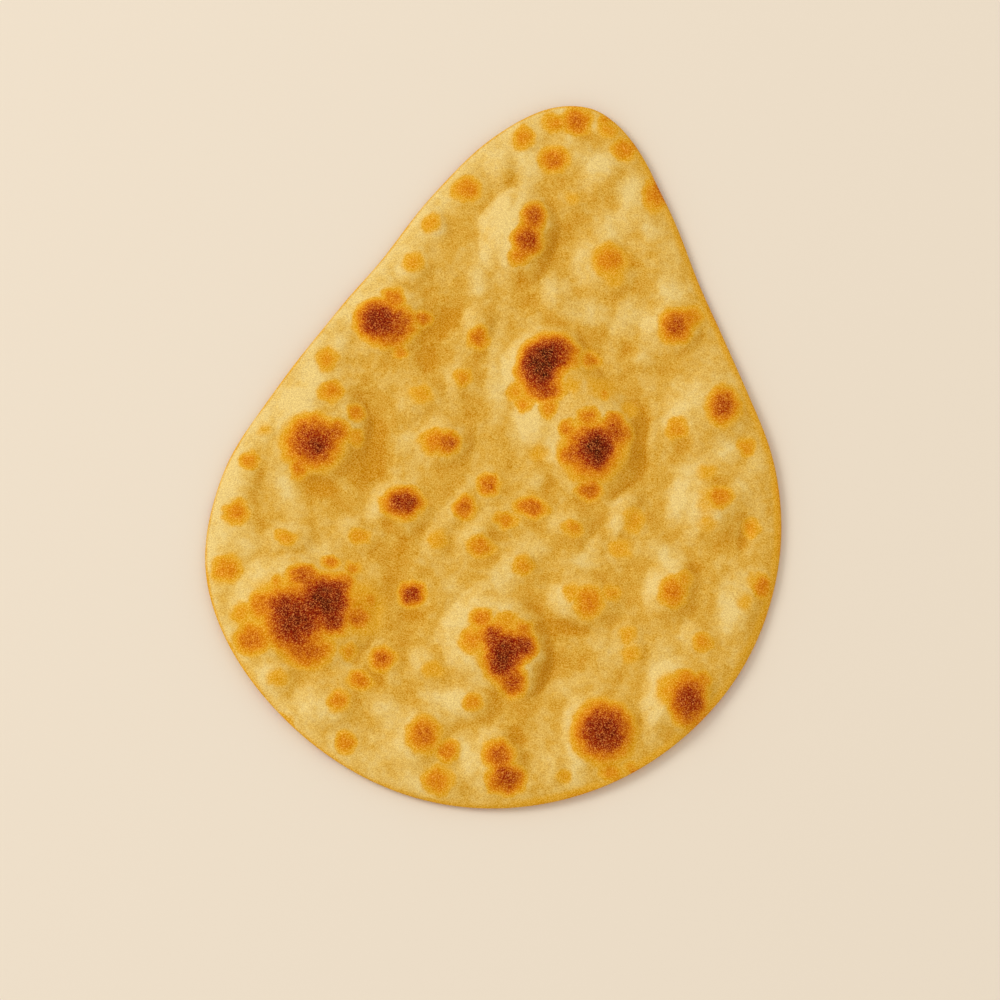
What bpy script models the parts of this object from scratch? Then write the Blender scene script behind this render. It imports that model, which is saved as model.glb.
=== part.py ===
"""Naan bread: one hand-stretched teardrop of leavened dough, puffed into blisters by the oven's heat.

Metres, +Z up. The bread lies on its flat underside at Z = 0, its narrow tip towards +Y.
The origin is under the middle of its bounding box.
"""

import bmesh
import bpy
import numpy as np
from mathutils import Vector, noise

# The stretched outline: heading in degrees from +X, and the distance from the middle to the rim.
SPOKES = (
    (8, 0.0982),
    (24, 0.0916),
    (39, 0.0910),
    (54, 0.0969),
    (69, 0.1126),
    (79, 0.1277),
    (86, 0.1347),
    (93, 0.1325),
    (101, 0.1228),
    (115, 0.1035),
    (131, 0.0884),
    (147, 0.0836),
    (162, 0.0846),
    (178, 0.0918),
    (195, 0.1067),
    (214, 0.1218),
    (240, 0.1298),
    (268, 0.1342),
    (294, 0.1308),
    (320, 0.1215),
    (345, 0.1094),
)

# The dough between blisters, and its rounded rim.
DOUGH_THICKNESS = 0.0055
RIM_HEIGHT = 0.0026
TOP_ROUNDING = 0.0115
UNDER_ROUNDING = 0.0110
RIM_CURL = 0.0007
CURLS_ROUND_RIM = 5

# Gentle hills left by the fingers that stretched the dough.
HILL_HEIGHT = 0.0014
HILL_SPACING = 0.022

# Blisters: middle x and y, half width, half length, turn in degrees, and rise above the dough.
BLISTERS = (
    # The great long blister right of the middle, as two ends and the swell that joins them.
    (0.0090, 0.0315, 0.0180, 0.0190, 0, 0.0058),
    (0.0180, 0.0195, 0.0190, 0.0245, 40, 0.0058),
    (0.0300, 0.0085, 0.0200, 0.0225, 20, 0.0062),
    # The broad one of the lower left, with its shoulder.
    (-0.0650, -0.0730, 0.0285, 0.0215, -12, 0.0061),
    (-0.0520, -0.0660, 0.0150, 0.0140, 0, 0.0046),
    # The creased one left of the foot, in two folds.
    (0.0060, -0.0715, 0.0205, 0.0215, 0, 0.0058),
    (0.0185, -0.0760, 0.0110, 0.0170, 15, 0.0051),
    # The two round ones of the lower right.
    (0.0510, -0.0975, 0.0155, 0.0160, 0, 0.0047),
    (0.0775, -0.0820, 0.0150, 0.0170, 0, 0.0043),
    # Down the right side.
    (0.0680, -0.0420, 0.0115, 0.0155, -5, 0.0035),
    (0.0370, -0.0520, 0.0170, 0.0110, -8, 0.0031),
    (0.0760, -0.0065, 0.0180, 0.0170, 0, 0.0035),
    (0.0690, 0.0270, 0.0185, 0.0160, 20, 0.0034),
    (0.0510, 0.0575, 0.0130, 0.0130, 0, 0.0029),
    # Towards the tip.
    (-0.0110, 0.0810, 0.0150, 0.0205, 5, 0.0053),
    (0.0225, 0.0755, 0.0140, 0.0130, 0, 0.0028),
    (0.0035, 0.1185, 0.0130, 0.0100, 0, 0.0016),
    # Down the left side.
    (-0.0515, 0.0425, 0.0160, 0.0155, 0, 0.0039),
    (-0.0700, -0.0035, 0.0190, 0.0220, 10, 0.0048),
    # The small ones of the middle and the foot.
    (-0.0245, -0.0010, 0.0120, 0.0105, 10, 0.0031),
    (-0.0370, -0.0285, 0.0130, 0.0120, 0, 0.0034),
    (0.0150, -0.1170, 0.0135, 0.0145, 0, 0.0034),
    (-0.0150, -0.1125, 0.0140, 0.0150, 0, 0.0028),
    (0.0275, -0.0240, 0.0105, 0.0085, 0, 0.0020),
    # Low pillows near the rim.
    (-0.0945, -0.0280, 0.0090, 0.0140, 0, 0.0016),
    (-0.0745, -0.0475, 0.0120, 0.0095, 10, 0.0020),
    (-0.0485, -0.1060, 0.0145, 0.0120, 0, 0.0021),
    (0.0950, -0.0420, 0.0105, 0.0150, 10, 0.0017),
)
BLISTER_STEEPNESS = 1.2
UNION_SHARPNESS = 4

# How finely the bread is cut: spokes round it, and rings from the top's middle to the underside's.
SEGMENTS = 96
RINGS = 50
TOP_SHARE = 0.68
RIM_CROWDING = 1.4

CRUST_COLOUR = (0.65, 0.37, 0.09, 1.0)
CRUST_ROUGHNESS = 0.72


def rim_reach(heading):
    """The distance from the middle to the rim along headings in radians, on a closed cubic through SPOKES."""
    headings, reaches = np.radians([spoke[0] for spoke in SPOKES]), [spoke[1] for spoke in SPOKES]
    full_turn = 2 * np.pi
    knots = np.concatenate([headings - full_turn, headings, headings + full_turn])
    values = np.tile(reaches, 3)
    slopes = (np.roll(values, -1) - np.roll(values, 1)) / (np.roll(knots, -1) - np.roll(knots, 1))
    heading = heading % full_turn
    before = np.searchsorted(knots, heading, side="right") - 1
    after = before + 1
    gap = knots[after] - knots[before]
    t = (heading - knots[before]) / gap
    return (
        (1 + 2 * t) * (1 - t) ** 2 * values[before]
        + t * (1 - t) ** 2 * gap * slopes[before]
        + t**2 * (3 - 2 * t) * values[after]
        + t**2 * (t - 1) * gap * slopes[after]
    )


def rim_lean(heading):
    """The cosine of the angle between a spoke and the rim's normal."""
    step = np.radians(1)
    slope = (rim_reach(heading + step) - rim_reach(heading - step)) / (2 * step)
    return 1 / np.hypot(1, slope / rim_reach(heading))


def rim_height(heading):
    """The rim's own height, which curls gently up and down on its way round."""
    return RIM_HEIGHT + RIM_CURL * np.sin(CURLS_ROUND_RIM * heading)


def rounding(inset, width):
    """0 at the rim, rising on a quarter ellipse to 1 at width from it."""
    return np.sqrt(1 - np.clip(1 - inset / width, 0, 1) ** 2)


def blister_rise(x, y):
    """How far the blisters lift the top, each a steep dome, merged softly where they meet."""
    total = np.zeros_like(x)
    for middle_x, middle_y, half_width, half_length, turn, rise in BLISTERS:
        cosine, sine = np.cos(np.radians(turn)), np.sin(np.radians(turn))
        across = ((x - middle_x) * cosine + (y - middle_y) * sine) / half_width
        along = ((y - middle_y) * cosine - (x - middle_x) * sine) / half_length
        dome = rise * np.clip(1 - across**2 - along**2, 0, 1) ** BLISTER_STEEPNESS
        total += dome**UNION_SHARPNESS
    return total ** (1 / UNION_SHARPNESS)


def hills(x, y):
    """The dough's own unevenness between the blisters."""
    spots = zip(x / HILL_SPACING, y / HILL_SPACING)
    return HILL_HEIGHT * np.array([noise.noise(Vector((u, v, 0))) for u, v in spots])


def crust_material():
    material = bpy.data.materials.new("baked_crust")
    material.use_nodes = True
    shader = material.node_tree.nodes["Principled BSDF"]
    shader.inputs["Base Color"].default_value = CRUST_COLOUR
    shader.inputs["Roughness"].default_value = CRUST_ROUGHNESS
    shader.inputs["Metallic"].default_value = 0.0
    return material


def naan_mesh():
    """A sphere pressed flat: its upper rings become the blistered top, its lower rings the underside."""
    ball = bmesh.new()
    bmesh.ops.create_uvsphere(ball, u_segments=SEGMENTS, v_segments=RINGS, radius=1)
    places = np.array([vertex.co for vertex in ball.verts])
    heading = np.arctan2(places[:, 1], places[:, 0])
    fall = np.arccos(np.clip(places[:, 2], -1, 1)) / np.pi
    on_top = fall <= TOP_SHARE
    step_out = np.where(on_top, fall / TOP_SHARE, (1 - fall) / (1 - TOP_SHARE))
    spread = 1 - np.clip(1 - step_out, 0, 1) ** RIM_CROWDING

    reach = rim_reach(heading)
    inset = (1 - spread) * reach * rim_lean(heading)
    x = spread * reach * np.cos(heading)
    y = spread * reach * np.sin(heading)

    rim = rim_height(heading)
    crown = DOUGH_THICKNESS + hills(x, y) + blister_rise(x, y)
    top = rim + (crown - rim) * rounding(inset, TOP_ROUNDING)
    underside = rim * (1 - rounding(inset, UNDER_ROUNDING))
    z = np.where(on_top, top, underside)

    middle_x = (x.min() + x.max()) / 2
    middle_y = (y.min() + y.max()) / 2
    for vertex, place in zip(ball.verts, zip(x - middle_x, y - middle_y, z)):
        vertex.co = place
    bmesh.ops.triangulate(ball, faces=ball.faces)
    bmesh.ops.recalc_face_normals(ball, faces=ball.faces)
    mesh = bpy.data.meshes.new("naan")
    ball.to_mesh(mesh)
    ball.free()
    mesh.shade_smooth()
    return mesh


for old in list(bpy.data.objects):
    bpy.data.objects.remove(old)

bread = bpy.data.collections.new("naan_bread")
bpy.context.scene.collection.children.link(bread)
naan = bpy.data.objects.new("naan", naan_mesh())
naan.data.materials.append(crust_material())
bread.objects.link(naan)
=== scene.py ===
"""A naan bread fresh from the oven: its blistered, scorched crust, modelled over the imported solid.

Metres, +Z up. The bread lies on its underside, its narrow tip towards +Y.
"""

import math

import bmesh
import bpy
import numpy as np
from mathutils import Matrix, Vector


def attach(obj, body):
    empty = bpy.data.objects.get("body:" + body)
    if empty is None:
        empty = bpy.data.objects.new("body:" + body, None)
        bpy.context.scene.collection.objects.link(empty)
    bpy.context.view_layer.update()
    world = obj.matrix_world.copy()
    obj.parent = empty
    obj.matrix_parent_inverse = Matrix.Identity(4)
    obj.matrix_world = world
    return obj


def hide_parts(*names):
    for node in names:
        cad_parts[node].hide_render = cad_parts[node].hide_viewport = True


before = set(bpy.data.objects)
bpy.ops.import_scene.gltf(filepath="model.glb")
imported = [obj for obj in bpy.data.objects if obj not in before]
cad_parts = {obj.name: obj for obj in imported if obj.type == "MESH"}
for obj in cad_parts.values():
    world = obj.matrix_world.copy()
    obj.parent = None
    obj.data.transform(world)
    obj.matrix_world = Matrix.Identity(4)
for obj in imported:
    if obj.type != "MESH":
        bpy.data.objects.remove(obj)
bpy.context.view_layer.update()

# The stretched dough.
# A ball of leavened wheat dough is slapped and pulled by hand into a flat teardrop. It starts here
# as two square sheets, bent round to the teardrop's outline and joined along the rim.
TOP_CELLS = 256
UNDER_CELLS = 128
RIM_CROWDING = 0.06
RIM_SPOKES = 96
UNDER_SHEET_INSET = 0.0006
SHEET_GAP = 0.003


def rim_of(solid):
    """A function that gives the rim's distance from the middle along headings, smooth through the solid's outline."""
    places = np.array([vertex.co for vertex in solid.data.vertices])
    full_turn = 2 * math.pi
    heading_of_each = np.arctan2(places[:, 1], places[:, 0])
    reach_of_each = np.hypot(places[:, 0], places[:, 1])
    spoke_of_each = np.round(heading_of_each / full_turn * RIM_SPOKES).astype(int) % RIM_SPOKES
    tips = [
        max(np.flatnonzero(spoke_of_each == spoke), key=lambda index: reach_of_each[index])
        for spoke in range(RIM_SPOKES)
    ]
    tips.sort(key=lambda index: heading_of_each[index])
    headings, reaches = heading_of_each[tips], reach_of_each[tips]
    knots = np.concatenate([headings - full_turn, headings, headings + full_turn])
    values = np.tile(reaches, 3)
    slopes = (np.roll(values, -1) - np.roll(values, 1)) / (np.roll(knots, -1) - np.roll(knots, 1))

    def reach(heading):
        before = np.searchsorted(knots, heading, side="right") - 1
        after = before + 1
        gap = knots[after] - knots[before]
        t = (heading - knots[before]) / gap
        return (
            (1 + 2 * t) * (1 - t) ** 2 * values[before]
            + t * (1 - t) ** 2 * gap * slopes[before]
            + t**2 * (3 - 2 * t) * values[after]
            + t**2 * (t - 1) * gap * slopes[after]
        )

    return reach


def add_sheet(dough, cells, reach, height, outer_inset):
    """Adds a square sheet whose square rings become rings of the teardrop, and returns each point's way in from the rim."""
    points = bmesh.ops.create_grid(dough, x_segments=cells, y_segments=cells, size=1)["verts"]
    across, along = np.array([point.co[:2] for point in points]).T
    sideways = np.abs(across) > np.abs(along)
    longer = np.where(sideways, across, along)
    shorter = np.where(sideways, along, across)
    slant = math.pi / 4 * shorter / np.where(longer == 0, 1, longer)
    heading = np.where(sideways, slant, math.pi / 2 - slant) + np.where(longer < 0, math.pi, 0)
    heading = (heading + math.pi) % (2 * math.pi) - math.pi

    inward = 1 - np.abs(longer)
    inward = inward**2 * (1 + RIM_CROWDING) / (inward + RIM_CROWDING)
    step = math.radians(0.5)
    edge = reach(heading)
    slope = (reach(heading + step) - reach(heading - step)) / (2 * step)
    lean = 1 / np.hypot(1, slope / edge)
    spread = (edge - outer_inset / lean) * (1 - inward)
    for point, x, y in zip(points, spread * np.cos(heading), spread * np.sin(heading)):
        point.co = (x, y, height)
    return (edge - spread) * lean


def stretched_dough(solid):
    reach = rim_of(solid)
    dough = bmesh.new()
    top_inset = add_sheet(dough, TOP_CELLS, reach, SHEET_GAP, 0)
    under_inset = add_sheet(dough, UNDER_CELLS, reach, 0, UNDER_SHEET_INSET)
    bmesh.ops.bridge_loops(dough, edges=[edge for edge in dough.edges if edge.is_boundary])
    bmesh.ops.recalc_face_normals(dough, faces=dough.faces)
    mesh = bpy.data.meshes.new("naan_bread")
    dough.to_mesh(mesh)
    dough.free()
    mesh.attributes.new("inset", "FLOAT", "POINT").data.foreach_set(
        "value", np.concatenate([top_inset, under_inset])
    )
    mesh.attributes.new("on_top", "FLOAT", "POINT").data.foreach_set(
        "value", np.concatenate([np.ones(len(top_inset)), np.zeros(len(under_inset))])
    )
    return mesh


naan = bpy.data.objects.new("naan_bread", stretched_dough(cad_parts["naan"]))
bpy.context.scene.collection.objects.link(naan)

# The blisters.
# Steam and gas lift the dough into domes wherever the two skins part, from one as long as a thumb
# to bumps the size of a pea. Each is a patch: its middle, half width, half length, turn and rise.
BLISTERS = (
    # The great long blister right of the middle.
    (0.0088, 0.0315, 0.0178, 0.0190, 0, 0.0076),
    (0.0180, 0.0195, 0.0190, 0.0245, 40, 0.0076),
    (0.0300, 0.0085, 0.0200, 0.0225, 20, 0.0080),
    # The broad one of the lower left.
    (-0.0649, -0.0728, 0.0285, 0.0212, -12, 0.0080),
    (-0.0522, -0.0659, 0.0150, 0.0140, 0, 0.0060),
    # The creased one left of the foot, in two folds.
    (0.0058, -0.0713, 0.0205, 0.0215, 0, 0.0076),
    (0.0183, -0.0762, 0.0110, 0.0170, 15, 0.0066),
    # The two round ones of the lower right.
    (0.0508, -0.0977, 0.0155, 0.0158, 0, 0.0060),
    (0.0775, -0.0822, 0.0148, 0.0170, 0, 0.0056),
    # Down the right side.
    (0.0679, -0.0418, 0.0112, 0.0152, -5, 0.0046),
    (0.0372, -0.0518, 0.0167, 0.0106, -8, 0.0040),
    (0.0762, -0.0066, 0.0178, 0.0168, 0, 0.0046),
    (0.0690, 0.0270, 0.0185, 0.0160, 20, 0.0044),
    (0.0508, 0.0573, 0.0130, 0.0130, 0, 0.0038),
    # Towards the tip.
    (-0.0110, 0.0808, 0.0150, 0.0205, 5, 0.0070),
    (0.0225, 0.0755, 0.0140, 0.0130, 0, 0.0036),
    (0.0033, 0.1183, 0.0130, 0.0100, 0, 0.0020),
    # Down the left side.
    (-0.0515, 0.0425, 0.0160, 0.0155, 0, 0.0050),
    (-0.0700, -0.0035, 0.0190, 0.0220, 10, 0.0062),
    # The small ones of the middle and the foot.
    (-0.0243, -0.0010, 0.0120, 0.0104, 10, 0.0040),
    (-0.0368, -0.0284, 0.0130, 0.0120, 0, 0.0044),
    (0.0150, -0.1169, 0.0135, 0.0145, 0, 0.0044),
    (-0.0148, -0.1125, 0.0140, 0.0150, 0, 0.0036),
    (0.0277, -0.0238, 0.0105, 0.0085, 0, 0.0026),
    # Two long low folds that the pulling left across the middle.
    (-0.0145, -0.0242, 0.0055, 0.0190, -30, 0.0014),
    (-0.0028, -0.0282, 0.0055, 0.0190, -41, 0.0014),
    # Low pillows between the blisters, from the lower left round to the tip.
    (-0.0946, -0.0279, 0.0090, 0.0140, 0, 0.0020),
    (-0.0745, -0.0474, 0.0120, 0.0095, 10, 0.0026),
    (-0.0524, -0.0388, 0.0075, 0.0062, 0, 0.0018),
    (-0.0207, -0.0378, 0.0070, 0.0075, 0, 0.0018),
    (-0.0058, -0.0352, 0.0095, 0.0075, 0, 0.0024),
    (-0.0693, -0.0991, 0.0095, 0.0085, 0, 0.0020),
    (-0.0486, -0.1058, 0.0145, 0.0120, 0, 0.0028),
    (-0.0465, -0.0863, 0.0070, 0.0060, 0, 0.0016),
    (-0.0157, -0.0847, 0.0095, 0.0095, 0, 0.0022),
    (0.0021, -0.0968, 0.0120, 0.0085, 0, 0.0026),
    (0.0461, -0.0165, 0.0068, 0.0115, -15, 0.0024),
    (0.0389, -0.0293, 0.0058, 0.0058, 0, 0.0014),
    (0.0102, -0.0408, 0.0085, 0.0060, 0, 0.0022),
    (0.0950, -0.0420, 0.0105, 0.0150, 10, 0.0022),
    (0.0813, -0.0581, 0.0085, 0.0075, 0, 0.0020),
    (0.0547, -0.0597, 0.0068, 0.0068, 0, 0.0016),
    (0.0371, -0.1153, 0.0060, 0.0055, 0, 0.0014),
    (-0.0468, 0.0624, 0.0085, 0.0085, 0, 0.0022),
    (-0.0424, 0.0798, 0.0070, 0.0075, 0, 0.0016),
    (-0.0200, 0.0450, 0.0080, 0.0105, 0, 0.0026),
    (-0.0237, 0.0212, 0.0058, 0.0075, 0, 0.0016),
    (-0.0380, 0.0129, 0.0095, 0.0075, 0, 0.0018),
    (0.0160, 0.1090, 0.0095, 0.0120, 0, 0.0018),
    (-0.0226, 0.1067, 0.0075, 0.0095, 0, 0.0016),
    (0.0320, 0.0968, 0.0095, 0.0110, 0, 0.0014),
    (0.0083, 0.0597, 0.0095, 0.0075, 0, 0.0014),
    (0.0415, 0.0423, 0.0080, 0.0080, 0, 0.0012),
)

# The valleys.
# Where two blisters lean together, the dough between them stays down, and painted shade turns it a deep golden.
# Each is a long patch as well, with its depth last.
VALLEYS = (
    (-0.0320, 0.0440, 0.0070, 0.0150, -30, 0.0009),
    (-0.0480, -0.0080, 0.0075, 0.0200, 5, 0.0008),
    (-0.0640, -0.0270, 0.0150, 0.0060, -15, 0.0008),
    (0.0465, 0.0140, 0.0060, 0.0210, 8, 0.0009),
    (-0.0340, -0.0920, 0.0060, 0.0080, 0, 0.0008),
    (-0.0340, 0.0290, 0.0090, 0.0080, 0, 0.0010),
    (-0.0590, 0.0240, 0.0055, 0.0055, 0, 0.0005),
    (0.0200, -0.0575, 0.0022, 0.0100, 59, 0.0003),
    (0.0162, -0.0033, 0.0016, 0.0140, 60, 0.0003),
    (-0.0700, 0.0040, 0.0085, 0.0055, 0, 0.0009),
    (-0.0380, -0.0345, 0.0080, 0.0060, 0, 0.0010),
    (-0.0335, -0.0520, 0.0075, 0.0200, 8, 0.0006),
    (-0.0230, -0.0660, 0.0085, 0.0080, 0, 0.0009),
    (-0.0080, 0.0650, 0.0070, 0.0060, 0, 0.0008),
    (0.0300, 0.0790, 0.0070, 0.0070, 0, 0.0005),
    (0.0080, 0.1240, 0.0090, 0.0045, -10, 0.0008),
    (0.0630, 0.0150, 0.0060, 0.0060, 0, 0.0009),
    (0.0370, 0.0450, 0.0065, 0.0055, 0, 0.0006),
    (0.0770, 0.0020, 0.0110, 0.0035, 0, 0.0009),
    (0.0915, -0.0170, 0.0035, 0.0090, 0, 0.0008),
    (0.0760, -0.0330, 0.0080, 0.0050, 0, 0.0005),
    (0.0480, -0.0270, 0.0050, 0.0060, 0, 0.0005),
    (0.0350, -0.0620, 0.0130, 0.0045, 0, 0.0007),
    (0.0290, -0.0800, 0.0050, 0.0070, 0, 0.0005),
    (0.0760, -0.0920, 0.0055, 0.0100, 0, 0.0010),
    (0.0220, -0.1060, 0.0060, 0.0060, 0, 0.0005),
)

# The pale swells.
# Between the blisters the dough swells late and low, half a millimetre or so, and stays pale under
# its dusting of flour. Each is a patch with its share of the full swell and paleness.
SWELLS = (
    (-0.0110, 0.1090, 0.0075, 0.0160, 0, 0.9),
    (-0.0190, 0.0920, 0.0055, 0.0065, 0, 0.6),
    (0.0130, 0.1140, 0.0130, 0.0070, 0, 0.8),
    (0.0270, 0.1060, 0.0065, 0.0100, 0, 0.9),
    (0.0230, 0.0900, 0.0110, 0.0090, 0, 1.0),
    (0.0370, 0.0920, 0.0070, 0.0070, 0, 0.8),
    (0.0060, 0.0640, 0.0080, 0.0100, 0, 0.7),
    (0.0210, 0.0570, 0.0140, 0.0080, 0, 1.0),
    (0.0340, 0.0560, 0.0090, 0.0100, 0, 0.9),
    (0.0480, 0.0700, 0.0080, 0.0070, 0, 0.9),
    (0.0450, 0.0430, 0.0070, 0.0060, 0, 0.7),
    (-0.0085, 0.0270, 0.0060, 0.0240, 8, 1.0),
    (0.0040, 0.0120, 0.0080, 0.0150, 0, 1.0),
    (0.0790, 0.0140, 0.0090, 0.0080, 0, 1.0),
    (0.0660, 0.0050, 0.0110, 0.0050, 30, 0.7),
    (0.0785, -0.0110, 0.0060, 0.0080, 0, 0.9),
    (0.0630, -0.0280, 0.0120, 0.0070, 0, 1.0),
    (0.0640, -0.0100, 0.0060, 0.0130, 0, 0.6),
    (0.0880, -0.0430, 0.0060, 0.0160, 10, 0.9),
    (0.0700, -0.0700, 0.0080, 0.0150, 10, 1.0),
    (0.0480, -0.0700, 0.0080, 0.0150, 0, 0.5),
    (0.0450, -0.1110, 0.0060, 0.0110, 0, 1.0),
    (0.0130, -0.0340, 0.0140, 0.0065, 0, 0.9),
    (0.0340, -0.0370, 0.0120, 0.0080, 0, 0.9),
    (0.0060, -0.0480, 0.0100, 0.0070, 0, 1.0),
    (0.0125, -0.0100, 0.0050, 0.0050, 0, 0.7),
    (-0.0120, -0.0570, 0.0070, 0.0110, 0, 0.5),
    (-0.0050, -0.0970, 0.0150, 0.0100, 0, 1.0),
    (0.0020, -0.1110, 0.0060, 0.0090, 0, 0.9),
    (-0.0090, -0.1290, 0.0110, 0.0055, 0, 0.9),
    (-0.0270, -0.1040, 0.0075, 0.0075, 0, 0.8),
    (-0.0480, -0.0900, 0.0075, 0.0075, 0, 0.8),
    (-0.0700, -0.1000, 0.0065, 0.0065, 0, 0.5),
    (-0.0600, -0.0500, 0.0140, 0.0060, -5, 0.8),
    (-0.0890, -0.0500, 0.0060, 0.0100, 0, 0.7),
    (-0.0780, -0.0280, 0.0065, 0.0170, 33, 1.0),
    (-0.0750, 0.0150, 0.0080, 0.0070, 0, 0.8),
    (-0.0690, 0.0290, 0.0065, 0.0065, 0, 0.6),
    (-0.0360, -0.0020, 0.0070, 0.0065, 0, 0.7),
    (-0.0215, 0.0630, 0.0075, 0.0130, 5, 1.0),
    (-0.0410, 0.0780, 0.0070, 0.0060, 0, 0.7),
)

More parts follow.
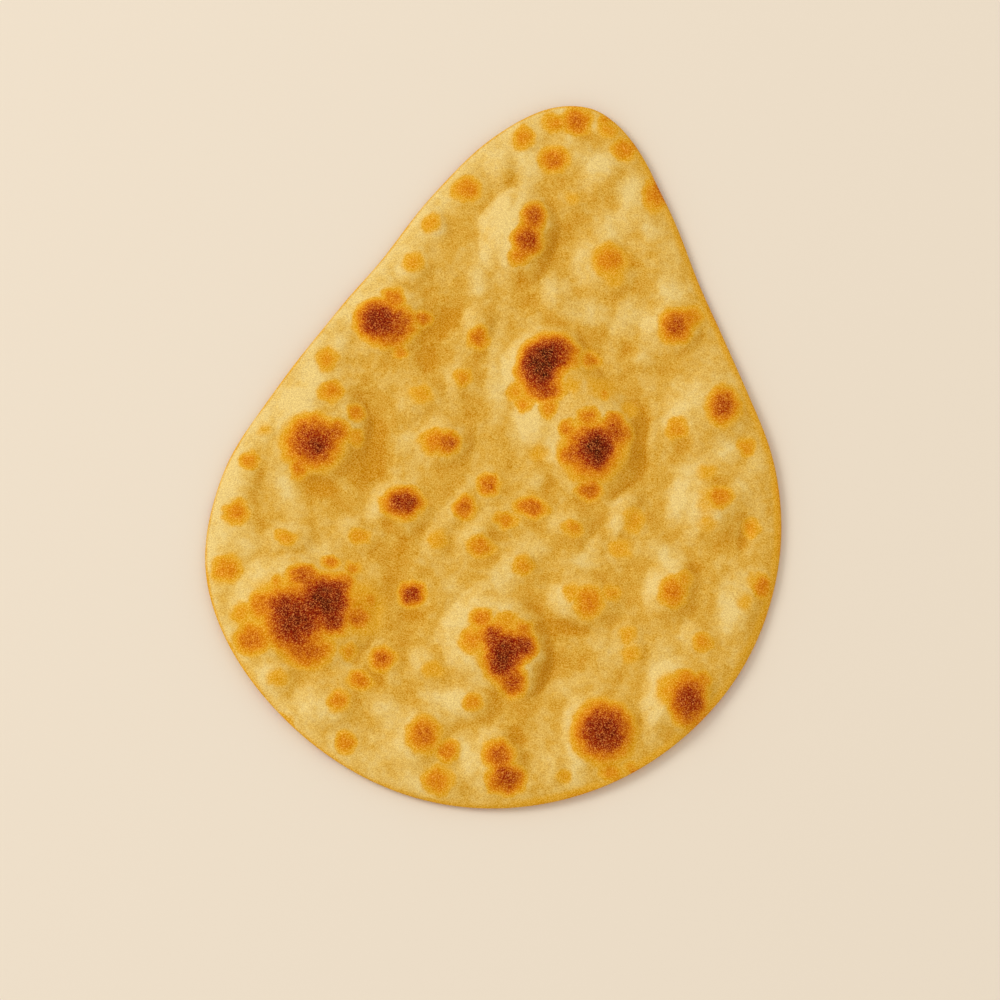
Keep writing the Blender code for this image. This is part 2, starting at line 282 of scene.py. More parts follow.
# The scorch marks.
# The oven's wall and flames brown the crust where it stands highest, from pale orange flecks to
# charred blister tops. Each is a patch too: its middle, half width, half length, turn and depth
# of browning, where 1 is black.
SCORCHES = (
    # On the great long blister.
    (0.0190, 0.0230, 0.0180, 0.0260, 35, 0.08),
    (0.0056, 0.0332, 0.0088, 0.0105, 0, 0.92),
    (0.0099, 0.0387, 0.0100, 0.0085, 0, 0.72),
    (0.0085, 0.0245, 0.0086, 0.0062, 0, 0.60),
    (0.0019, 0.0178, 0.0040, 0.0040, 0, 0.34),
    (0.0115, 0.0172, 0.0045, 0.0040, 0, 0.34),
    (-0.0022, 0.0221, 0.0040, 0.0040, 0, 0.28),
    (0.0234, 0.0391, 0.0044, 0.0044, 0, 0.38),
    (0.0306, 0.0269, 0.0025, 0.0025, 0, 0.28),
    (0.0185, 0.0274, 0.0050, 0.0050, 0, 0.16),
    (0.0315, 0.0055, 0.0072, 0.0090, 0, 0.88),
    (0.0300, 0.0045, 0.0125, 0.0125, 0, 0.60),
    (0.0290, 0.0290, 0.0070, 0.0060, 0, 0.16),
    (0.0372, 0.0126, 0.0070, 0.0075, 0, 0.54),
    (0.0194, 0.0109, 0.0040, 0.0040, 0, 0.40),
    (0.0217, 0.0016, 0.0050, 0.0050, 0, 0.46),
    (0.0266, 0.0172, 0.0050, 0.0045, 0, 0.40),
    (0.0362, 0.0178, 0.0040, 0.0040, 0, 0.40),
    (0.0412, 0.0229, 0.0042, 0.0042, 0, 0.16),
    (0.0316, -0.0096, 0.0055, 0.0048, 0, 0.47),
    (0.0103, 0.0009, 0.0045, 0.0045, 0, 0.14),
    # On the broad blister of the lower left.
    (-0.0665, -0.0750, 0.0195, 0.0160, -12, 0.40),
    (-0.0812, -0.0862, 0.0086, 0.0068, 0, 0.44),
    (-0.0638, -0.0731, 0.0125, 0.0105, 0, 0.60),
    (-0.0570, -0.0676, 0.0105, 0.0100, 0, 0.86),
    (-0.0668, -0.0792, 0.0118, 0.0110, 0, 0.76),
    (-0.0720, -0.0728, 0.0080, 0.0075, 0, 0.64),
    (-0.0531, -0.0748, 0.0064, 0.0068, 0, 0.70),
    (-0.0665, -0.0605, 0.0075, 0.0055, 0, 0.55),
    (-0.0797, -0.0736, 0.0060, 0.0070, 0, 0.42),
    (-0.0866, -0.0778, 0.0050, 0.0058, 0, 0.26),
    (-0.0445, -0.0690, 0.0110, 0.0130, 0, 0.24),
    (-0.0823, -0.0883, 0.0050, 0.0050, 0, 0.34),
    (-0.0610, -0.0885, 0.0095, 0.0060, 0, 0.50),
    (-0.0555, -0.0865, 0.0060, 0.0055, 0, 0.40),
    (-0.0443, -0.0723, 0.0055, 0.0052, 0, 0.46),
    (-0.0411, -0.0644, 0.0032, 0.0032, 0, 0.30),
    (-0.0517, -0.0600, 0.0058, 0.0050, 0, 0.45),
    (-0.0579, -0.0530, 0.0038, 0.0030, 0, 0.40),
    (-0.0495, -0.0536, 0.0038, 0.0030, 0, 0.35),
    (-0.0759, -0.0641, 0.0032, 0.0032, 0, 0.30),
    (-0.0457, -0.0851, 0.0042, 0.0042, 0, 0.28),
    # On the creased blister.
    (0.0112, -0.0774, 0.0080, 0.0100, 0, 0.84),
    (0.0100, -0.0640, 0.0060, 0.0046, 0, 0.25),
    (0.0066, -0.0711, 0.0068, 0.0060, 0, 0.64),
    (0.0176, -0.0725, 0.0058, 0.0062, 0, 0.70),
    (0.0162, -0.0862, 0.0062, 0.0060, 0, 0.58),
    (0.0004, -0.0650, 0.0052, 0.0046, 0, 0.42),
    (-0.0015, -0.0735, 0.0055, 0.0062, 0, 0.34),
    (0.0168, -0.0658, 0.0042, 0.0036, 0, 0.40),
    (0.0095, -0.0730, 0.0130, 0.0130, 0, 0.26),
    # On the round ones of the lower right.
    (0.0524, -0.0983, 0.0118, 0.0122, 0, 0.76),
    (0.0570, -0.1125, 0.0050, 0.0042, 0, 0.34),
    (0.0646, -0.1094, 0.0038, 0.0034, 0, 0.26),
    (0.0409, -0.1172, 0.0034, 0.0034, 0, 0.22),
    (0.0812, -0.0818, 0.0080, 0.0105, 0, 0.66),
    (0.0760, -0.0790, 0.0085, 0.0085, 0, 0.30),
    (0.0790, -0.0734, 0.0048, 0.0044, 0, 0.38),
    (0.0848, -0.0729, 0.0042, 0.0042, 0, 0.34),
    # Down the right side.
    (0.0686, -0.0425, 0.0064, 0.0068, 0, 0.38),
    (0.0719, -0.0368, 0.0040, 0.0040, 0, 0.26),
    (0.0386, -0.0514, 0.0064, 0.0080, 0, 0.38),
    (0.0463, -0.0463, 0.0042, 0.0042, 0, 0.26),
    (0.0319, -0.0486, 0.0046, 0.0044, 0, 0.23),
    (0.0797, -0.0040, 0.0058, 0.0054, 0, 0.36),
    (0.0755, -0.0060, 0.0060, 0.0090, 0, 0.12),
    (0.0732, 0.0047, 0.0052, 0.0044, 0, 0.16),
    (0.0767, -0.0143, 0.0052, 0.0044, 0, 0.14),
    (0.0925, -0.0129, 0.0044, 0.0044, 0, 0.28),
    (0.0750, 0.0303, 0.0070, 0.0090, 0, 0.54),
    (0.0596, 0.0187, 0.0052, 0.0052, 0, 0.30),
    (0.0857, 0.0166, 0.0044, 0.0044, 0, 0.28),
    (0.0527, 0.0573, 0.0070, 0.0080, 0, 0.55),
    (0.0579, 0.0622, 0.0052, 0.0052, 0, 0.34),
    # Towards the tip.
    (-0.0067, 0.0884, 0.0052, 0.0070, 0, 0.54),
    (-0.0071, 0.0789, 0.0065, 0.0070, 0, 0.59),
    (-0.0096, 0.0728, 0.0048, 0.0044, 0, 0.38),
    (0.0240, 0.0776, 0.0076, 0.0076, 0, 0.37),
    (0.0269, 0.0715, 0.0048, 0.0044, 0, 0.16),
    # Down the left side.
    (-0.0572, 0.0401, 0.0088, 0.0084, 0, 0.77),
    (-0.0497, 0.0404, 0.0086, 0.0076, 0, 0.55),
    (-0.0527, 0.0354, 0.0100, 0.0060, 0, 0.52),
    (-0.0527, 0.0492, 0.0054, 0.0054, 0, 0.42),
    (-0.0405, 0.0440, 0.0044, 0.0040, 0, 0.45),
    (-0.0466, 0.0298, 0.0034, 0.0030, 0, 0.35),
    (-0.0722, -0.0100, 0.0122, 0.0112, 0, 0.65),
    (-0.0703, -0.0115, 0.0056, 0.0052, 0, 0.70),
    (-0.0761, -0.0203, 0.0042, 0.0042, 0, 0.42),
    (-0.0692, 0.0103, 0.0055, 0.0050, 0, 0.34),
    (-0.0585, 0.0042, 0.0042, 0.0042, 0, 0.36),
    (-0.0640, -0.0045, 0.0055, 0.0055, 0, 0.48),
    (-0.0570, -0.0055, 0.0040, 0.0040, 0, 0.28),
    # The small blisters of the middle.
    (-0.0267, -0.0016, 0.0082, 0.0062, 0, 0.40),
    (-0.0225, -0.0013, 0.0048, 0.0046, 0, 0.56),
    (-0.0352, -0.0264, 0.0080, 0.0070, 0, 0.69),
    (-0.0408, -0.0275, 0.0048, 0.0048, 0, 0.35),
    (-0.0263, -0.0593, 0.0055, 0.0056, 0, 0.66),
)

# The flecks.
# Small bubbles between the blisters catch only a little heat: each is a low bump with an orange
# or brown fleck on top. They are middle x, middle y, half width, half length and browning.
FLECKS = (
    (-0.0055, -0.0140, 0.0050, 0.0050, 0.48),
    (-0.0129, -0.0241, 0.0048, 0.0050, 0.50),
    (0.0115, -0.0198, 0.0072, 0.0046, 0.48),
    (0.0029, -0.0262, 0.0052, 0.0038, 0.36),
    (-0.0045, -0.0375, 0.0062, 0.0048, 0.37),
    (-0.0205, -0.0377, 0.0048, 0.0048, 0.22),
    (0.0121, -0.0422, 0.0048, 0.0048, 0.30),
    (0.0278, -0.0250, 0.0054, 0.0038, 0.32),
    (-0.0728, 0.0225, 0.0050, 0.0056, 0.30),
    (-0.0908, -0.0076, 0.0040, 0.0040, 0.14),
    (-0.0942, -0.0203, 0.0044, 0.0044, 0.34),
    (-0.0955, -0.0405, 0.0056, 0.0056, 0.38),
    (-0.0952, -0.0622, 0.0068, 0.0066, 0.36),
    (-0.0760, -0.0467, 0.0052, 0.0038, 0.28),
    (-0.0488, -0.0413, 0.0052, 0.0042, 0.28),
    (-0.0327, -0.0853, 0.0056, 0.0054, 0.50),
    (-0.0391, -0.0948, 0.0056, 0.0044, 0.40),
    (-0.0457, -0.1039, 0.0048, 0.0056, 0.36),
    (-0.0405, -0.1186, 0.0048, 0.0048, 0.35),
    (-0.0126, -0.1110, 0.0074, 0.0080, 0.46),
    (-0.0030, -0.1154, 0.0052, 0.0052, 0.40),
    (-0.0048, -0.1267, 0.0068, 0.0064, 0.38),
    (-0.0136, -0.0862, 0.0055, 0.0042, 0.20),
    (-0.0697, -0.0990, 0.0050, 0.0046, 0.20),
    (-0.0634, -0.1136, 0.0040, 0.0040, 0.11),
    (0.0031, -0.0958, 0.0044, 0.0044, 0.32),
    (0.0158, -0.1138, 0.0068, 0.0070, 0.50),
    (0.0200, -0.1215, 0.0078, 0.0070, 0.60),
    (0.0165, -0.1255, 0.0036, 0.0032, 0.40),
    (0.0025, 0.1285, 0.0068, 0.0062, 0.46),
    (-0.0062, 0.1262, 0.0048, 0.0048, 0.28),
    (-0.0038, 0.1264, 0.0032, 0.0032, 0.30),
    (-0.0160, 0.1186, 0.0050, 0.0056, 0.34),
    (-0.0031, 0.1120, 0.0068, 0.0058, 0.44),
    (0.0222, 0.1210, 0.0060, 0.0056, 0.36),
    (0.0150, 0.1268, 0.0048, 0.0040, 0.28),
    (0.0127, 0.1304, 0.0032, 0.0028, 0.28),
    (-0.0330, 0.0955, 0.0066, 0.0056, 0.38),
    (-0.0440, 0.0804, 0.0046, 0.0048, 0.26),
    (-0.0478, 0.0640, 0.0052, 0.0050, 0.26),
    (0.0063, 0.0987, 0.0040, 0.0036, 0.14),
    (0.0368, 0.1062, 0.0060, 0.0085, 0.36),
    (-0.0192, 0.0402, 0.0048, 0.0050, 0.44),
    (-0.0221, 0.0240, 0.0042, 0.0048, 0.32),
    (-0.0362, 0.0153, 0.0055, 0.0044, 0.24),
    (0.1005, -0.0340, 0.0044, 0.0056, 0.40),
    (0.0952, -0.0410, 0.0042, 0.0040, 0.14),
    (0.0973, -0.0326, 0.0040, 0.0040, 0.14),
    (0.0825, -0.0588, 0.0046, 0.0046, 0.30),
    (0.0552, -0.0609, 0.0044, 0.0044, 0.22),
    (0.0571, -0.0680, 0.0044, 0.0044, 0.22),
    (0.0986, -0.0618, 0.0042, 0.0042, 0.11),
    (0.0495, -0.0180, 0.0050, 0.0060, 0.24),
    (0.0466, -0.0296, 0.0052, 0.0046, 0.22),
)
FLECK_BUMP_WIDTH = 1.8
FLECK_BUMP_RISE = 0.0011


def plan_of(name, patches):
    """One point for each patch, which carries its size, turn and strength."""
    mesh = bpy.data.meshes.new(name)
    mesh.from_pydata([(patch[0], patch[1], 0) for patch in patches], [], [])
    sizes = [size for patch in patches for size in (patch[2], patch[3], 1)]
    mesh.attributes.new("size", "FLOAT_VECTOR", "POINT").data.foreach_set("vector", sizes)
    turns = [math.radians(patch[4]) for patch in patches]
    mesh.attributes.new("turn", "FLOAT", "POINT").data.foreach_set("value", turns)
    strengths = [patch[5] for patch in patches]
    mesh.attributes.new("strength", "FLOAT", "POINT").data.foreach_set("value", strengths)
    return bpy.data.objects.new(name, mesh)


fleck_bumps = tuple(
    (x, y, width * FLECK_BUMP_WIDTH, length * FLECK_BUMP_WIDTH, 0, FLECK_BUMP_RISE)
    for x, y, width, length, browning in FLECKS
)
fleck_marks = tuple((x, y, width, length, 0, browning) for x, y, width, length, browning in FLECKS)
blister_plan = plan_of("blister_plan", BLISTERS + fleck_bumps)
valley_plan = plan_of("valley_plan", VALLEYS)
swell_plan = plan_of("swell_plan", SWELLS)
scorch_plan = plan_of("scorch_plan", SCORCHES + fleck_marks)


def add_node(tree, kind, *sources, **settings):
    """Adds one node: settings are its own options, and sources feed its live inputs in order, None skipping one."""
    made = tree.nodes.new(kind)
    for name, value in settings.items():
        setattr(made, name, value)
    live = [socket for socket in made.inputs if socket.enabled]
    for socket, source in zip(live, sources):
        if isinstance(source, bpy.types.NodeSocket):
            tree.links.new(source, socket)
        elif source is not None:
            socket.default_value = source
    return made


def calc(tree, operation, *values, **settings):
    return add_node(tree, "ShaderNodeMath", *values, operation=operation, **settings).outputs[0]


def calc_vector(tree, operation, *values):
    made = add_node(tree, "ShaderNodeVectorMath", *values, operation=operation)
    return next(socket for socket in made.outputs if socket.enabled)


def named(tree, name, data_type="FLOAT"):
    return add_node(tree, "GeometryNodeInputNamedAttribute", name, data_type=data_type).outputs[0]


def store(tree, geometry, name, value, data_type="FLOAT"):
    made = add_node(
        tree, "GeometryNodeStoreNamedAttribute", geometry, None, name, value,
        data_type=data_type, domain="POINT",
    )
    return made.outputs[0]


def patch_reader():
    """A node group that reads one patch of a plan: how far a place is from its middle, 1 at its foot, and its strength."""
    tree = bpy.data.node_groups.new("Read Patch", "GeometryNodeTree")
    for name, kind in (("Plan", "Geometry"), ("Index", "Int"), ("Place", "Vector")):
        tree.interface.new_socket(name, in_out="INPUT", socket_type="NodeSocket" + kind)
    for name in ("Distance", "Strength"):
        tree.interface.new_socket(name, in_out="OUTPUT", socket_type="NodeSocketFloat")
    given = add_node(tree, "NodeGroupInput").outputs

    def read(value, data_type):
        return add_node(
            tree, "GeometryNodeSampleIndex", given["Plan"], value, given["Index"], data_type=data_type
        ).outputs[0]

    middle = read(add_node(tree, "GeometryNodeInputPosition").outputs[0], "FLOAT_VECTOR")
    size = read(named(tree, "size", "FLOAT_VECTOR"), "FLOAT_VECTOR")
    turn = read(named(tree, "turn"), "FLOAT")
    strength = read(named(tree, "strength"), "FLOAT")
    away = calc_vector(tree, "SUBTRACT", given["Place"], middle)
    turned = add_node(
        tree, "ShaderNodeVectorRotate", away, None, calc(tree, "MULTIPLY", turn, -1.0),
        rotation_type="Z_AXIS",
    ).outputs[0]
    distance = calc_vector(tree, "LENGTH", calc_vector(tree, "DIVIDE", turned, size))
    add_node(tree, "NodeGroupOutput", distance, strength)
    return tree


def over_patches(
    tree, geometry, plan, place, name, sharpness, fullness, steepness, pointed, strongest, spread=1.0
):
    """Adds a repeat zone that stores, under a name, the soft union of every patch of a plan, each a dome."""
    geometry = store(tree, geometry, "place", place, "FLOAT_VECTOR")
    place = named(tree, "place", "FLOAT_VECTOR")
    count = add_node(tree, "GeometryNodeAttributeDomainSize", plan, component="MESH").outputs[0]
    end = tree.nodes.new("GeometryNodeRepeatOutput")
    start = tree.nodes.new("GeometryNodeRepeatInput")
    start.pair_with_output(end)
    tree.links.new(count, start.inputs["Iterations"])
    tree.links.new(store(tree, geometry, name, 0.0), start.inputs["Geometry"])
    reader = add_node(tree, "GeometryNodeGroup", node_tree=patch_group)
    tree.links.new(plan, reader.inputs["Plan"])
    tree.links.new(start.outputs["Iteration"], reader.inputs["Index"])
    tree.links.new(place, reader.inputs["Place"])
    near = calc(tree, "MINIMUM", calc(tree, "DIVIDE", reader.outputs["Distance"], spread), 1.0)
    weak = calc(tree, "SUBTRACT", 1.0, calc(tree, "DIVIDE", reader.outputs["Strength"], strongest))
    steepness = calc(tree, "MULTIPLY_ADD", weak, pointed, steepness)
    dome = calc(tree, "POWER", calc(tree, "SUBTRACT", 1.0, calc(tree, "POWER", near, fullness)), steepness)
    share = calc(tree, "POWER", calc(tree, "MULTIPLY", dome, reader.outputs["Strength"]), sharpness)
    total = calc(tree, "ADD", named(tree, name), share)
    tree.links.new(store(tree, start.outputs["Geometry"], name, total), end.inputs["Geometry"])
    merged = calc(tree, "POWER", named(tree, name), 1 / sharpness)
    return store(tree, end.outputs["Geometry"], name, merged)


patch_group = patch_reader()

# The baking.
# In the oven the dough rises to its thickness, rounds at the rim, puffs into its blisters and
# browns. One tree of Geometry Nodes does this to the stretched dough, from sizes in metres.
BAKING = {
    "Dough Thickness": 0.0055,
    "Rim Height": 0.0026,
    "Rim Curl": 0.0007,
    "Top Rounding": 0.0115,
    "Under Rounding": 0.0110,
    "Hill Height": 0.0014,
    "Hill Spacing": 0.024,
    "Pillow Height": 0.0007,
    "Pillow Spacing": 0.013,
    "Lump Height": 0.0001,
    "Lump Spacing": 0.004,
    "Blister Height": 0.74,
    "Swell Height": 0.0006,
    "Blister Waver": 0.0035,
    "Blister Waver Spacing": 0.016,
    "Scorch Waver": 0.0022,
    "Scorch Waver Spacing": 0.0045,
    "Scorch Spread": 1.27,
    "Seed": 4.0,
}
# The side away from the lamp: flanks facing it get painted shade in the crust's colour, flanks facing the other way a
# painted highlight.
PAINTED_SHADE_SIDE = (0.97, -0.24, 0.0)
BLISTER_UNION = 5.0
BLISTER_FULLNESS = 2.2
BLISTER_STEEPNESS = 1.1
BLISTER_POINTEDNESS = 1.3
BLISTER_FULL_RISE = 0.008
SCORCH_UNION = 4.0
SCORCH_FULLNESS = 2.8
SCORCH_STEEPNESS = 1.7
SCORCH_POINTEDNESS = 1.7
VALLEY_FULLNESS = 2.0
VALLEY_STEEPNESS = 2.0


def waver(tree, place, size, spacing, seed):
    """Shifts a place about by a smooth noise, so that what is drawn from it has uneven edges."""
    noise = add_node(
        tree, "ShaderNodeTexNoise", place, seed, calc(tree, "DIVIDE", 1.0, spacing), 2.0,
        noise_dimensions="4D",
    ).outputs["Color"]
    centred = calc_vector(tree, "SUBTRACT", noise, (0.5, 0.5, 0.5))
    shift = add_node(tree, "ShaderNodeVectorMath", centred, operation="SCALE")
    tree.links.new(calc(tree, "MULTIPLY", size, 2.0), shift.inputs["Scale"])
    return calc_vector(tree, "ADD", place, shift.outputs[0])


def undulation(tree, place, height, spacing, seed):
    """A smooth rise and fall of the given height over the given spacing."""
    noise = add_node(
        tree, "ShaderNodeTexNoise", place, seed, calc(tree, "DIVIDE", 1.0, spacing), 2.0,
        noise_dimensions="4D",
    ).outputs["Fac"]
    return calc(tree, "MULTIPLY", calc(tree, "SUBTRACT", noise, 0.5), calc(tree, "MULTIPLY", height, 2.0))


def rounded(tree, inset, width):
    """0 at the rim, rising on a quarter ellipse to 1 at a width from it."""
    short = calc(tree, "SUBTRACT", 1.0, calc(tree, "DIVIDE", inset, width), use_clamp=True)
    return calc(tree, "SQRT", calc(tree, "SUBTRACT", 1.0, calc(tree, "MULTIPLY", short, short)))


def baking_tree():
    tree = bpy.data.node_groups.new("Bake Naan", "GeometryNodeTree")
    tree.interface.new_socket("Dough", in_out="INPUT", socket_type="NodeSocketGeometry")
    tree.interface.new_socket("Blister Plan", in_out="INPUT", socket_type="NodeSocketObject")
    tree.interface.new_socket("Scorch Plan", in_out="INPUT", socket_type="NodeSocketObject")
    tree.interface.new_socket("Valley Plan", in_out="INPUT", socket_type="NodeSocketObject")
    tree.interface.new_socket("Swell Plan", in_out="INPUT", socket_type="NodeSocketObject")
    tree.interface.new_socket("Crust", in_out="INPUT", socket_type="NodeSocketMaterial")
    for name in BAKING:
        tree.interface.new_socket(name, in_out="INPUT", socket_type="NodeSocketFloat")
    tree.interface.new_socket("Bread", in_out="OUTPUT", socket_type="NodeSocketGeometry")
    given = add_node(tree, "NodeGroupInput").outputs
    plans = {
        name: next(
            socket
            for socket in add_node(tree, "GeometryNodeObjectInfo", given[name]).outputs
            if socket.name == "Geometry"
        )
        for name in ("Blister Plan", "Scorch Plan", "Valley Plan", "Swell Plan")
    }
    flat = calc_vector(
        tree, "MULTIPLY", add_node(tree, "GeometryNodeInputPosition").outputs[0], (1.0, 1.0, 0.0)
    )
    blister_place = waver(
        tree, flat, given["Blister Waver"], given["Blister Waver Spacing"], given["Seed"]
    )
    bread = over_patches(
        tree, given["Dough"], plans["Blister Plan"], blister_place, "rise",
        BLISTER_UNION, BLISTER_FULLNESS, BLISTER_STEEPNESS, BLISTER_POINTEDNESS, BLISTER_FULL_RISE,
    )
    scorch_place = waver(
        tree, flat, given["Scorch Waver"], given["Scorch Waver Spacing"], given["Seed"]
    )
    bread = over_patches(
        tree, bread, plans["Scorch Plan"], scorch_place, "scorch",
        SCORCH_UNION, SCORCH_FULLNESS, SCORCH_STEEPNESS, SCORCH_POINTEDNESS, 1.0, given["Scorch Spread"],
    )
    bread = over_patches(
        tree, bread, plans["Valley Plan"], blister_place, "valley_depth",
        BLISTER_UNION, VALLEY_FULLNESS, VALLEY_STEEPNESS, 0.0, 1.0,
    )
    bread = over_patches(
        tree, bread, plans["Swell Plan"], blister_place, "swelling",
        BLISTER_UNION, VALLEY_FULLNESS, VALLEY_STEEPNESS, 0.0, 1.0,
    )

    hills = undulation(tree, flat, given["Hill Height"], given["Hill Spacing"], given["Seed"])
    pillow_place = waver(tree, flat, calc(tree, "MULTIPLY", given["Pillow Spacing"], 0.4), given["Pillow Spacing"], given["Seed"])
    cells = add_node(
        tree, "ShaderNodeTexVoronoi", pillow_place, calc(tree, "DIVIDE", 1.0, given["Pillow Spacing"]),
        voronoi_dimensions="2D", feature="SMOOTH_F1",
    )
    cells.inputs["Smoothness"].default_value = 0.25
    away = cells.outputs["Distance"]
    pillows = calc(tree, "MULTIPLY", calc(tree, "SUBTRACT", 0.25, calc(tree, "MULTIPLY", away, away)), given["Pillow Height"])
    calm = calc(tree, "SUBTRACT", 1.0, calc(tree, "MULTIPLY", named(tree, "rise"), 250.0), use_clamp=True)
    lumps = undulation(tree, flat, given["Lump Height"], given["Lump Spacing"], given["Seed"])
    unevenness = calc(tree, "ADD", hills, calc(tree, "MULTIPLY_ADD", pillows, calm, lumps))
    sunk_dough = calc(tree, "SUBTRACT", given["Dough Thickness"], named(tree, "valley_depth"))
    sunk_dough = calc(tree, "MULTIPLY_ADD", named(tree, "swelling"), given["Swell Height"], sunk_dough)
    risen_dough = calc(tree, "ADD", sunk_dough, unevenness)
    crown = calc(tree, "MULTIPLY_ADD", named(tree, "rise"), given["Blister Height"], risen_dough)
    separate = add_node(tree, "ShaderNodeSeparateXYZ", flat).outputs
    heading = calc(tree, "ARCTAN2", separate["Y"], separate["X"])
    curl = calc(tree, "MULTIPLY", calc(tree, "SINE", calc(tree, "MULTIPLY", heading, 5.0)), given["Rim Curl"])
    rim = calc(tree, "ADD", given["Rim Height"], curl)
    over = calc(tree, "SUBTRACT", crown, rim)
    top = calc(
        tree, "MULTIPLY_ADD", over, rounded(tree, named(tree, "inset"), given["Top Rounding"]), rim
    )
    turned_in = calc(tree, "SUBTRACT", 1.0, rounded(tree, named(tree, "inset"), given["Under Rounding"]))
    under = calc(tree, "MULTIPLY", rim, turned_in)
    height = add_node(
        tree, "ShaderNodeMix", named(tree, "on_top"), under, top, data_type="FLOAT"
    ).outputs[0]
    bread = store(tree, bread, "height", height)

    lift = add_node(tree, "ShaderNodeCombineXYZ", 0.0, 0.0, named(tree, "height")).outputs[0]
    bread = add_node(
        tree, "GeometryNodeSetPosition", bread, None, calc_vector(tree, "ADD", flat, lift)
    ).outputs[0]
    # Fold and valley measure how far each point lies below its neighbours; the crust turns them into painted shade in
    # creases and hollows.
    for width, passes in (("fold", 30), ("valley", 260)):
        blurred = add_node(
            tree, "GeometryNodeBlurAttribute", named(tree, "height"), passes, data_type="FLOAT"
        ).outputs[0]
        bread = store(tree, bread, width, calc(tree, "SUBTRACT", blurred, named(tree, "height")))
    normal = add_node(tree, "GeometryNodeInputNormal").outputs[0]
    # How much each point faces away from the lamp, kept for the crust's painted shade and painted highlight on the
    # flanks.
    bread = store(tree, bread, "painted_shade_facing", calc_vector(tree, "DOT_PRODUCT", normal, PAINTED_SHADE_SIDE))
    bread = add_node(tree, "GeometryNodeSetShadeSmooth", bread, None, True).outputs[0]
    bread = add_node(tree, "GeometryNodeRealizeInstances", bread).outputs[0]
    bread = add_node(tree, "GeometryNodeSetMaterial", bread, None, given["Crust"]).outputs[0]
    add_node(tree, "NodeGroupOutput", bread)
    return tree


# The crust.
# Baked wheat dough: matt, from cream to golden ochre, going through orange and brown to black where it scorched.
# Its folds and hollows, and the flanks that face away from the lamp, take painted shade as deeper ochre; its
# raised tops are paler cream, partly from flour and partly as a painted highlight, and the flanks that face
# the lamp take a painted highlight too. Fine bubbles and flour give it a grain all over.
DOUGH_COLOURS = (
    (0.00, (0.800, 0.585, 0.208)),
    (0.35, (0.755, 0.488, 0.118)),
    (0.65, (0.695, 0.389, 0.052)),
    (1.00, (0.620, 0.282, 0.0138)),
)
SCORCH_COLOURS = (
    (0.00, (0.760, 0.420, 0.0460)),
    (0.17, (0.760, 0.385, 0.0260)),
    (0.24, (0.750, 0.340, 0.0150)),
    (0.35, (0.710, 0.255, 0.0030)),
    (0.42, (0.655, 0.203, 0.0010)),
    (0.50, (0.555, 0.145, 0.0008)),
    (0.57, (0.460, 0.095, 0.0006)),
    (0.64, (0.380, 0.065, 0.0005)),
    (0.72, (0.310, 0.046, 0.0005)),
    (0.80, (0.250, 0.034, 0.0005)),
    (0.90, (0.183, 0.024, 0.0005)),
    (1.00, (0.125, 0.018, 0.0005)),
)
FLOUR_COLOUR = (0.72, 0.62, 0.215, 1.0)
SPECK_COLOUR = (1.05, 0.46, 0.150, 1.0)
SOOT_COLOUR = (0.04, 0.006, 0.0005)


def ramp(tree, factor, stops):
    made = add_node(tree, "ShaderNodeValToRGB", factor)
    elements = made.color_ramp.elements
    while len(elements) < len(stops):
        elements.new(1.0)
    for element, (position, colour) in zip(elements, stops):
        element.position = position
        element.color = (*colour, 1.0)
    return made.outputs["Color"]


def read_attribute(tree, name):
    return add_node(tree, "ShaderNodeAttribute", attribute_name=name).outputs["Fac"]


def noise(tree, place, scale, detail=2.0, output="Fac"):
    return add_node(tree, "ShaderNodeTexNoise", place, scale, detail).outputs[output]


def spread(tree, value, low, high):
    """Maps low to 0 and high to 1, smoothly, and holds past them."""
    made = add_node(
        tree, "ShaderNodeMapRange", value, low, high, 0.0, 1.0, interpolation_type="SMOOTHSTEP"
    )
    return made.outputs[0]


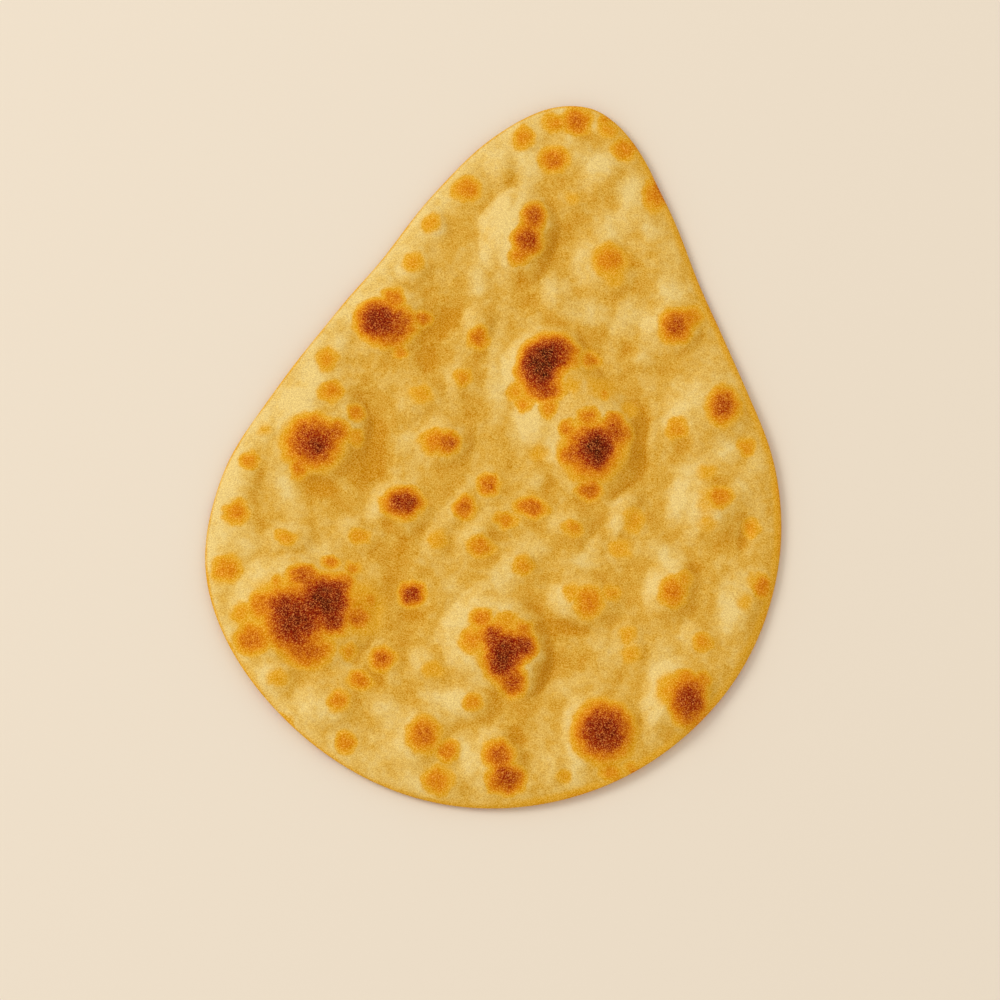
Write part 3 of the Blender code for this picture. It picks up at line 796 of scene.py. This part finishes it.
def crust_material():
    material = bpy.data.materials.new("baked_crust")
    material.use_nodes = True
    tree = material.node_tree
    shader = tree.nodes["Principled BSDF"]
    place = add_node(tree, "ShaderNodeTexCoord").outputs["Object"]
    fold = read_attribute(tree, "fold")
    valley = read_attribute(tree, "valley")
    scorch = read_attribute(tree, "scorch")
    painted_shade_facing = read_attribute(tree, "painted_shade_facing")
    inset = read_attribute(tree, "inset")
    on_top = read_attribute(tree, "on_top")
    grain = noise(tree, place, 2300.0, 1.0)
    coarse_grain = noise(tree, place, 500.0, 3.0)
    mottle = noise(tree, place, 85.0, 5.0)
    clouds = spread(tree, noise(tree, place, 130.0, 2.0), 0.42, 0.64)
    speckles = noise(tree, place, 300.0, 2.0)
    blotches = noise(tree, place, 60.0, 4.0)

    rim = calc(tree, "SUBTRACT", 1.0, spread(tree, inset, 0.0, 0.0015))
    inland = calc(tree, "MINIMUM", inset, 0.02)
    gold = calc(tree, "MULTIPLY_ADD", inland, 11.0, 0.38)
    # Painted shade: hollows, creases and sunk valleys turn a deeper golden. Raised blister tops turn paler, partly
    # their own floury paleness and partly a painted highlight.
    gold = calc(tree, "MULTIPLY_ADD", valley, 74.0, gold)
    gold = calc(tree, "MULTIPLY_ADD", fold, 40.0, gold)
    gold = calc(tree, "MULTIPLY_ADD", read_attribute(tree, "rise"), -55.0, gold)
    # Painted shade and highlight: flanks facing away from the lamp turn more golden, flanks facing it paler.
    gold = calc(tree, "MULTIPLY_ADD", painted_shade_facing, 0.8, gold)
    gold = calc(tree, "MULTIPLY_ADD", read_attribute(tree, "valley_depth"), 520.0, gold)
    gold = calc(tree, "MULTIPLY_ADD", read_attribute(tree, "swelling"), -0.50, gold)
    gold = calc(tree, "MULTIPLY_ADD", rim, 0.35, gold)
    gold = calc(tree, "MULTIPLY_ADD", calc(tree, "SUBTRACT", mottle, 0.5), 0.6, gold)
    gold = calc(tree, "MULTIPLY_ADD", calc(tree, "SUBTRACT", clouds, 0.4), -0.20, gold)
    gold = calc(tree, "MULTIPLY_ADD", calc(tree, "SUBTRACT", speckles, 0.5), 0.5, gold)
    gold = calc(tree, "MULTIPLY_ADD", calc(tree, "SUBTRACT", coarse_grain, 0.5), 0.25, gold)
    dough = ramp(tree, gold, DOUGH_COLOURS)

    below = calc(tree, "SUBTRACT", 1.0, on_top)
    under_scorch = calc(tree, "MULTIPLY", spread(tree, blotches, 0.42, 0.72), 0.62)
    toast = add_node(tree, "ShaderNodeMix", below, scorch, under_scorch, data_type="FLOAT").outputs[0]
    toast = calc(tree, "MULTIPLY_ADD", calc(tree, "MULTIPLY", rim, mottle), 0.26, toast)
    # The band along the rim on the right and towards the foot browns: partly the crust's own browning, partly painted
    # shade on the edges that face away from the lamp.
    separate = add_node(tree, "ShaderNodeSeparateXYZ", place).outputs
    foot_side = spread(tree, calc(tree, "MULTIPLY", separate["Y"], -1.0), 0.065, 0.095)
    foot_side = calc(tree, "MULTIPLY", foot_side, 0.4)
    shaded_edge_side = calc(tree, "MAXIMUM", spread(tree, separate["X"], -0.015, 0.045), foot_side)
    band = calc(tree, "SUBTRACT", 1.0, spread(tree, inset, 0.0, 0.0045))
    edge_toast_and_shade = calc(tree, "MULTIPLY", calc(tree, "MULTIPLY", band, shaded_edge_side), mottle)
    toast = calc(tree, "MAXIMUM", toast, calc(tree, "MULTIPLY", edge_toast_and_shade, 0.38))
    speckle = calc(tree, "MULTIPLY", calc(tree, "SUBTRACT", grain, 0.5), toast)
    browned = calc(tree, "MULTIPLY_ADD", speckle, -0.4, toast)
    patchy = calc(tree, "MULTIPLY", calc(tree, "SUBTRACT", coarse_grain, 0.5), toast)
    browned = calc(tree, "MULTIPLY_ADD", patchy, 0.6, browned)
    crust = ramp(tree, browned, SCORCH_COLOURS)
    cover = spread(tree, browned, 0.0, 0.15)
    colour = add_node(tree, "ShaderNodeMix", cover, dough, crust, data_type="RGBA")
    plain = next(socket for socket in colour.outputs if socket.enabled)
    specks = add_node(tree, "ShaderNodeMix", browned, FLOUR_COLOUR, SPECK_COLOUR, data_type="RGBA")
    speck_colour = next(socket for socket in specks.outputs if socket.enabled)
    flour = add_node(tree, "ShaderNodeVectorMath", speck_colour, operation="SCALE")
    fleck = calc(tree, "SUBTRACT", grain, 0.5)
    spark = calc(tree, "MULTIPLY", calc(tree, "MULTIPLY_ADD", fleck, fleck, -0.009), browned)
    tree.links.new(calc(tree, "MULTIPLY_ADD", spark, 4.5, fleck), flour.inputs["Scale"])
    floury = calc_vector(tree, "ADD", plain, flour.outputs[0])
    tree.links.new(calc_vector(tree, "MAXIMUM", floury, SOOT_COLOUR), shader.inputs["Base Color"])

    roughness = calc(tree, "MULTIPLY_ADD", coarse_grain, 0.3, 0.5)
    tree.links.new(roughness, shader.inputs["Roughness"])
    shader.inputs["Specular IOR Level"].default_value = 0.04
    relief = calc(tree, "MULTIPLY_ADD", coarse_grain, 0.25, grain)
    bump = add_node(tree, "ShaderNodeBump")
    bump.inputs["Strength"].default_value = 0.35
    bump.inputs["Distance"].default_value = 0.0004
    tree.links.new(relief, bump.inputs["Height"])
    tree.links.new(bump.outputs[0], shader.inputs["Normal"])
    return material


crust = crust_material()
baking = naan.modifiers.new("baking", "NODES")
baking.node_group = baking_tree()
settings = {
    "Blister Plan": blister_plan,
    "Scorch Plan": scorch_plan,
    "Valley Plan": valley_plan,
    "Swell Plan": swell_plan,
    "Crust": crust,
    **BAKING,
}
for item in baking.node_group.interface.items_tree:
    if item.in_out == "INPUT" and item.name in settings:
        baking[item.identifier] = settings[item.name]
bpy.context.view_layer.update()
baked = naan.evaluated_get(bpy.context.evaluated_depsgraph_get())
risen = bpy.data.meshes.new_from_object(baked)
naan.modifiers.remove(baking)
naan.data = risen
risen.name = "naan_bread"
for plan in (blister_plan, valley_plan, swell_plan, scorch_plan):
    bpy.data.objects.remove(plan)

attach(naan, "root")
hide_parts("naan")

# The studio.
# A plain cream floor under a soft window of light from the upper left, and the camera that looks
# almost straight down, turned so that the bread's tip leans to the right.
FLOOR_COLOUR = (0.83, 0.74, 0.62, 1.0)
FLOOR_SIZE = 6.0
VIEW_ELEVATION = math.radians(78)
VIEW_TURN = math.radians(10)
VIEW_DISTANCE = 3.60
VIEW_LENS = 350.0
AIM_RIGHT = -0.0037
AIM_DOWN = 0.0173

floor_mesh = bpy.data.meshes.new("floor")
half_floor = FLOOR_SIZE / 2
floor_mesh.from_pydata(
    [(-half_floor, -half_floor, 0), (half_floor, -half_floor, 0), (half_floor, half_floor, 0),
     (-half_floor, half_floor, 0)], [], [(0, 1, 2, 3)],
)
floor_material = bpy.data.materials.new("floor")
floor_material.use_nodes = True
floor_shader = floor_material.node_tree.nodes["Principled BSDF"]
floor_shader.inputs["Base Color"].default_value = FLOOR_COLOUR
floor_shader.inputs["Roughness"].default_value = 0.9
floor_mesh.materials.append(floor_material)
floor = bpy.data.objects.new("floor", floor_mesh)
floor.location.z = -0.0002
bpy.context.scene.collection.objects.link(floor)


def aimed(thing, place, target):
    thing.location = place
    thing.rotation_euler = (target - place).to_track_quat("-Z", "Y").to_euler()
    bpy.context.scene.collection.objects.link(thing)


def add_light(name, place, power, size, colour):
    light = bpy.data.lights.new(name, "AREA")
    light.energy = power
    light.size = size
    light.color = colour
    aimed(bpy.data.objects.new(name, light), Vector(place), Vector((0, 0, 0)))


image_right = Vector((math.cos(VIEW_TURN), math.sin(VIEW_TURN), 0))
image_up = Vector((-math.sin(VIEW_TURN), math.cos(VIEW_TURN), 0))
target = image_right * AIM_RIGHT - image_up * AIM_DOWN
outward = -image_up * math.cos(VIEW_ELEVATION) + Vector((0, 0, math.sin(VIEW_ELEVATION)))
camera_data = bpy.data.cameras.new("camera")
camera_data.lens = VIEW_LENS
camera = bpy.data.objects.new("camera", camera_data)
aimed(camera, target + outward * VIEW_DISTANCE, target)
bpy.context.scene.camera = camera

add_light("window", -image_right * 2.2 + image_up * 1.0 + Vector((0, 0, 2.4)), 42, 1.6, (1.0, 0.97, 0.92))

world = bpy.data.worlds.new("studio")
world.use_nodes = True
world.node_tree.nodes["Background"].inputs["Color"].default_value = (1.0, 0.96, 0.9, 1.0)
world.node_tree.nodes["Background"].inputs["Strength"].default_value = 0.775
bpy.context.scene.world = world
bpy.context.scene.view_settings.view_transform = "Standard"
